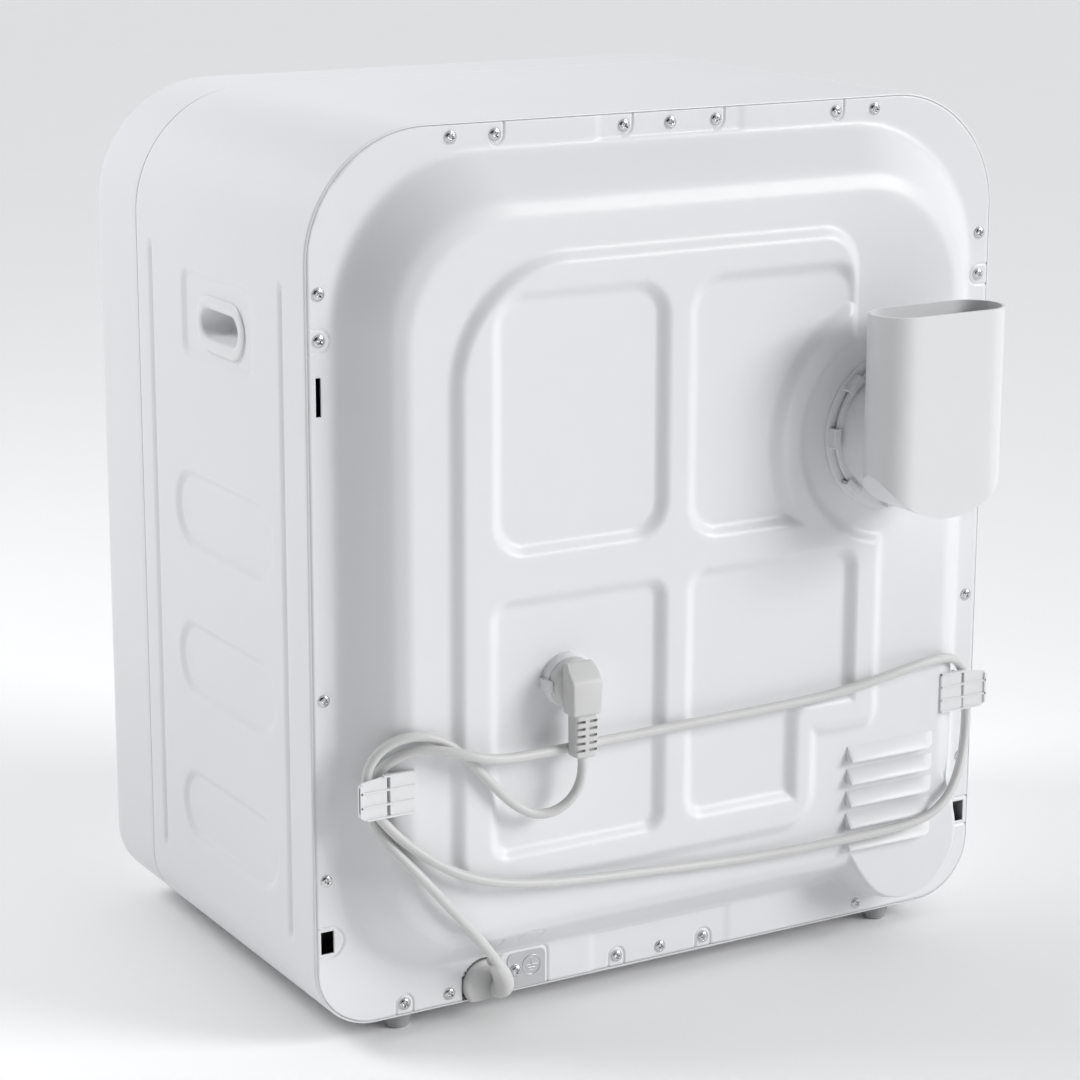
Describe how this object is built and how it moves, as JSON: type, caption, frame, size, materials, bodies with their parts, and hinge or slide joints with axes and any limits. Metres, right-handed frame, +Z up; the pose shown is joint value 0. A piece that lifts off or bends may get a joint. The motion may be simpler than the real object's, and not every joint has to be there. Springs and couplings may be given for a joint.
{
  "type": "clothes dryer",
  "caption": "Compact vented tumble dryer: rounded white cabinet with a pressed rear panel, swivelling exhaust elbow, cord wound on hooks, round front door and belt-driven drum.",
  "frame": {"origin": "on the floor under the middle of the machine, measured without the mains cord and its plug", "axes": "+Z up, -Y towards the door at the front, +Y towards the pressed rear panel, +X to the left when looking at the rear"},
  "size_m": [0.6, 0.528, 0.68],
  "materials": {
    "painted_steel": "white gloss enamel on pressed sheet",
    "front_shell": "white gloss moulding",
    "white_plastic": "white satin moulding",
    "grey_plastic": "grey satin moulding",
    "black_plastic": "black matte moulding",
    "zinc_steel": "zinc coated sheet, matte",
    "chrome": "bright plated",
    "drum_steel": "brushed stainless",
    "motor_paint": "dark grey varnish",
    "felt": "wool felt",
    "black_rubber": "black rubber, matte",
    "grey_rubber": "grey rubber, matte",
    "window_glass": "smoked, clear",
    "amber_lens": "amber, clear",
    "filter_cloth": "fine woven mesh",
    "ceramic": "unglazed ceramic",
    "cord_sheath": "warm white vinyl, satin"
  },
  "bodies": {
    "cabinet": {"cabinet_wrap": "painted_steel", "front_panel": "front_shell", "rear_panel": "painted_steel", "base_pan": "zinc_steel", "feet": "grey_plastic", "side_grip_left": "white_plastic", "side_grip_right": "white_plastic", "cord_hook_left": "white_plastic", "cord_hook_right": "white_plastic", "plug_holder": "white_plastic", "cord_gland": "cord_sheath", "earth_plate": "zinc_steel", "exhaust_collar": "white_plastic", "rear_screws": "chrome", "control_fascia": "grey_plastic", "timer_switch": "black_plastic", "start_switch": "black_plastic", "indicator_lenses": "amber_lens", "hinge_bracket": "chrome", "hinge_pin": "chrome", "door_catch": "black_plastic", "door_switch": "black_plastic", "door_seal": "grey_rubber", "door_throat": "white_plastic", "front_bulkhead": "zinc_steel", "drum_felt": "felt", "rear_bearing": "black_plastic", "rear_bulkhead": "zinc_steel", "fan_housing": "grey_plastic", "fan_axle": "drum_steel", "exhaust_duct": "grey_plastic", "motor": "motor_paint", "motor_mount": "zinc_steel", "drum_belt": "black_rubber", "fan_belt": "black_rubber", "heater_box": "zinc_steel", "heater_element": "ceramic", "run_capacitor": "black_plastic", "mains_cord": "cord_sheath", "mains_plug": "cord_sheath"},
    "door": {"door_ring": "front_shell", "door_window": "window_glass", "door_liner": "grey_plastic", "door_handle": "front_shell", "hinge_leaf": "chrome", "door_latch": "grey_plastic"},
    "drum": {"drum_shell": "drum_steel", "drum_back": "drum_steel", "drum_baffle_1": "white_plastic", "drum_baffle_2": "white_plastic", "drum_baffle_3": "white_plastic", "drum_shaft": "drum_steel"},
    "lint_filter": {"lint_filter_cover": "white_plastic", "lint_filter_mesh": "filter_cloth"},
    "fan": {"fan_wheel": "black_plastic"},
    "motor_rotor": {"motor_shaft": "drum_steel"},
    "vent_elbow": {"exhaust_elbow": "white_plastic"},
    "timer_dial": {"timer_knob": "front_shell"},
    "start_key": {"start_button": "front_shell"},
    "door_plunger": {"door_switch_plunger": "white_plastic"}
  },
  "joints": [
    {"name": "door_swing", "type": "hinge", "parent": "cabinet", "child": "door", "pos_m": [0.222, -0.242, 0.35], "axis": [0, 0, 1], "range_deg": [0, 120]},
    {"name": "drum_spin", "type": "hinge", "parent": "cabinet", "child": "drum", "pos_m": [0, 0.1, 0.385], "axis": [0, 1, 0], "continuous": true},
    {"name": "filter_pull", "type": "slide", "parent": "drum", "child": "lint_filter", "axis": [0, -1, 0], "range_m": [0, 0.05]},
    {"name": "fan_spin", "type": "hinge", "parent": "cabinet", "child": "fan", "pos_m": [0, 0.15, 0.385], "axis": [0, 1, 0], "continuous": true},
    {"name": "motor_spin", "type": "hinge", "parent": "cabinet", "child": "motor_rotor", "pos_m": [0.19, 0.04, 0.11], "axis": [0, 1, 0], "continuous": true},
    {"name": "elbow_turn", "type": "hinge", "parent": "cabinet", "child": "vent_elbow", "pos_m": [-0.18, 0.2, 0.427], "axis": [0, 1, 0], "range_deg": [-90, 90]},
    {"name": "timer_turn", "type": "hinge", "parent": "cabinet", "child": "timer_dial", "pos_m": [0.165, -0.235, 0.628], "axis": [0, 1, 0], "range_deg": [0, 300]},
    {"name": "start_press", "type": "slide", "parent": "cabinet", "child": "start_key", "axis": [0, 1, 0], "range_m": [0, 0.003], "stiffness_N_per_m": 500},
    {"name": "plunger_slide", "type": "slide", "parent": "cabinet", "child": "door_plunger", "axis": [0, -1, 0], "range_m": [0, 0.004]}
  ],
  "couplings": [
    {"joint": "motor_spin", "follows": "drum_spin", "ratio": 27.778},
    {"joint": "fan_spin", "follows": "drum_spin", "ratio": 15.432},
    {"joint": "plunger_slide", "follows": "door_swing", "m_per_rad": 0.0019}
  ]
}
